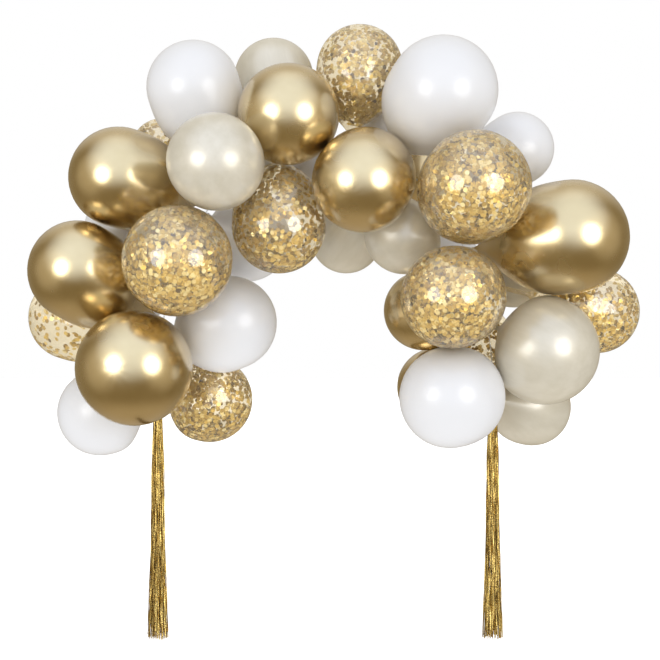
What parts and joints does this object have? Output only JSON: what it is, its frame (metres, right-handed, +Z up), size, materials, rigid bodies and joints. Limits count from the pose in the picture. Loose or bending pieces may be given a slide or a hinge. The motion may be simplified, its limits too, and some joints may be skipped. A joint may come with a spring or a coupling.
{
  "type": "balloon arch",
  "caption": "Arch of knotted latex balloons in gold, white, pearl and clear with foil dots, packed round a bent plastic strip, with a tinsel tassel at each foot, made to hang.",
  "frame": {"origin": "on the underside of the strip's level stretch at the crown, where a hook carries the arch", "axes": "+X to the right seen from the front, +Z up, and the front faces -Y"},
  "size_m": [1.5264, 0.7677, 1.5115],
  "materials": {
    "gold_latex": "mirror-like gold latex, satin where it is stretched",
    "white_latex": "smooth opaque white latex",
    "pearl_latex": "ivory latex with a pearl sheen",
    "clear_latex": "clear glossy latex lined with gold foil dots",
    "foil_dots": "round dots of metallised gold film",
    "clear_plastic": "clear flexible plastic strip",
    "tinsel": "narrow strands of metallised gold film"
  },
  "bodies": {
    "root": {"garland_strip": "clear_plastic", "gold_balloon_01": "gold_latex", "gold_balloon_02": "gold_latex", "gold_balloon_03": "gold_latex", "gold_balloon_04": "gold_latex", "gold_balloon_05": "gold_latex", "gold_balloon_06": "gold_latex", "gold_balloon_07": "gold_latex", "gold_balloon_08": "gold_latex", "gold_balloon_09": "gold_latex", "gold_balloon_10": "gold_latex", "white_balloon_01": "white_latex", "white_balloon_02": "white_latex", "white_balloon_03": "white_latex", "white_balloon_04": "white_latex", "white_balloon_05": "white_latex", "white_balloon_06": "white_latex", "white_balloon_07": "white_latex", "white_balloon_08": "white_latex", "white_balloon_09": "white_latex", "white_balloon_10": "white_latex", "white_balloon_11": "white_latex", "white_balloon_12": "white_latex", "white_balloon_13": "white_latex", "pearl_balloon_01": "pearl_latex", "pearl_balloon_02": "pearl_latex", "pearl_balloon_03": "pearl_latex", "pearl_balloon_04": "pearl_latex", "pearl_balloon_05": "pearl_latex", "pearl_balloon_06": "pearl_latex", "pearl_balloon_07": "pearl_latex", "pearl_balloon_08": "pearl_latex", "confetti_balloon_01": "clear_latex", "confetti_balloon_02": "clear_latex", "confetti_balloon_03": "clear_latex", "confetti_balloon_04": "clear_latex", "confetti_balloon_05": "clear_latex", "confetti_balloon_06": "clear_latex", "confetti_balloon_07": "clear_latex", "confetti_balloon_08": "clear_latex", "confetti_balloon_09": "clear_latex", "confetti_balloon_10": "clear_latex", "tassel_left": "tinsel", "tassel_right": "tinsel"}
  },
  "joints": []
}
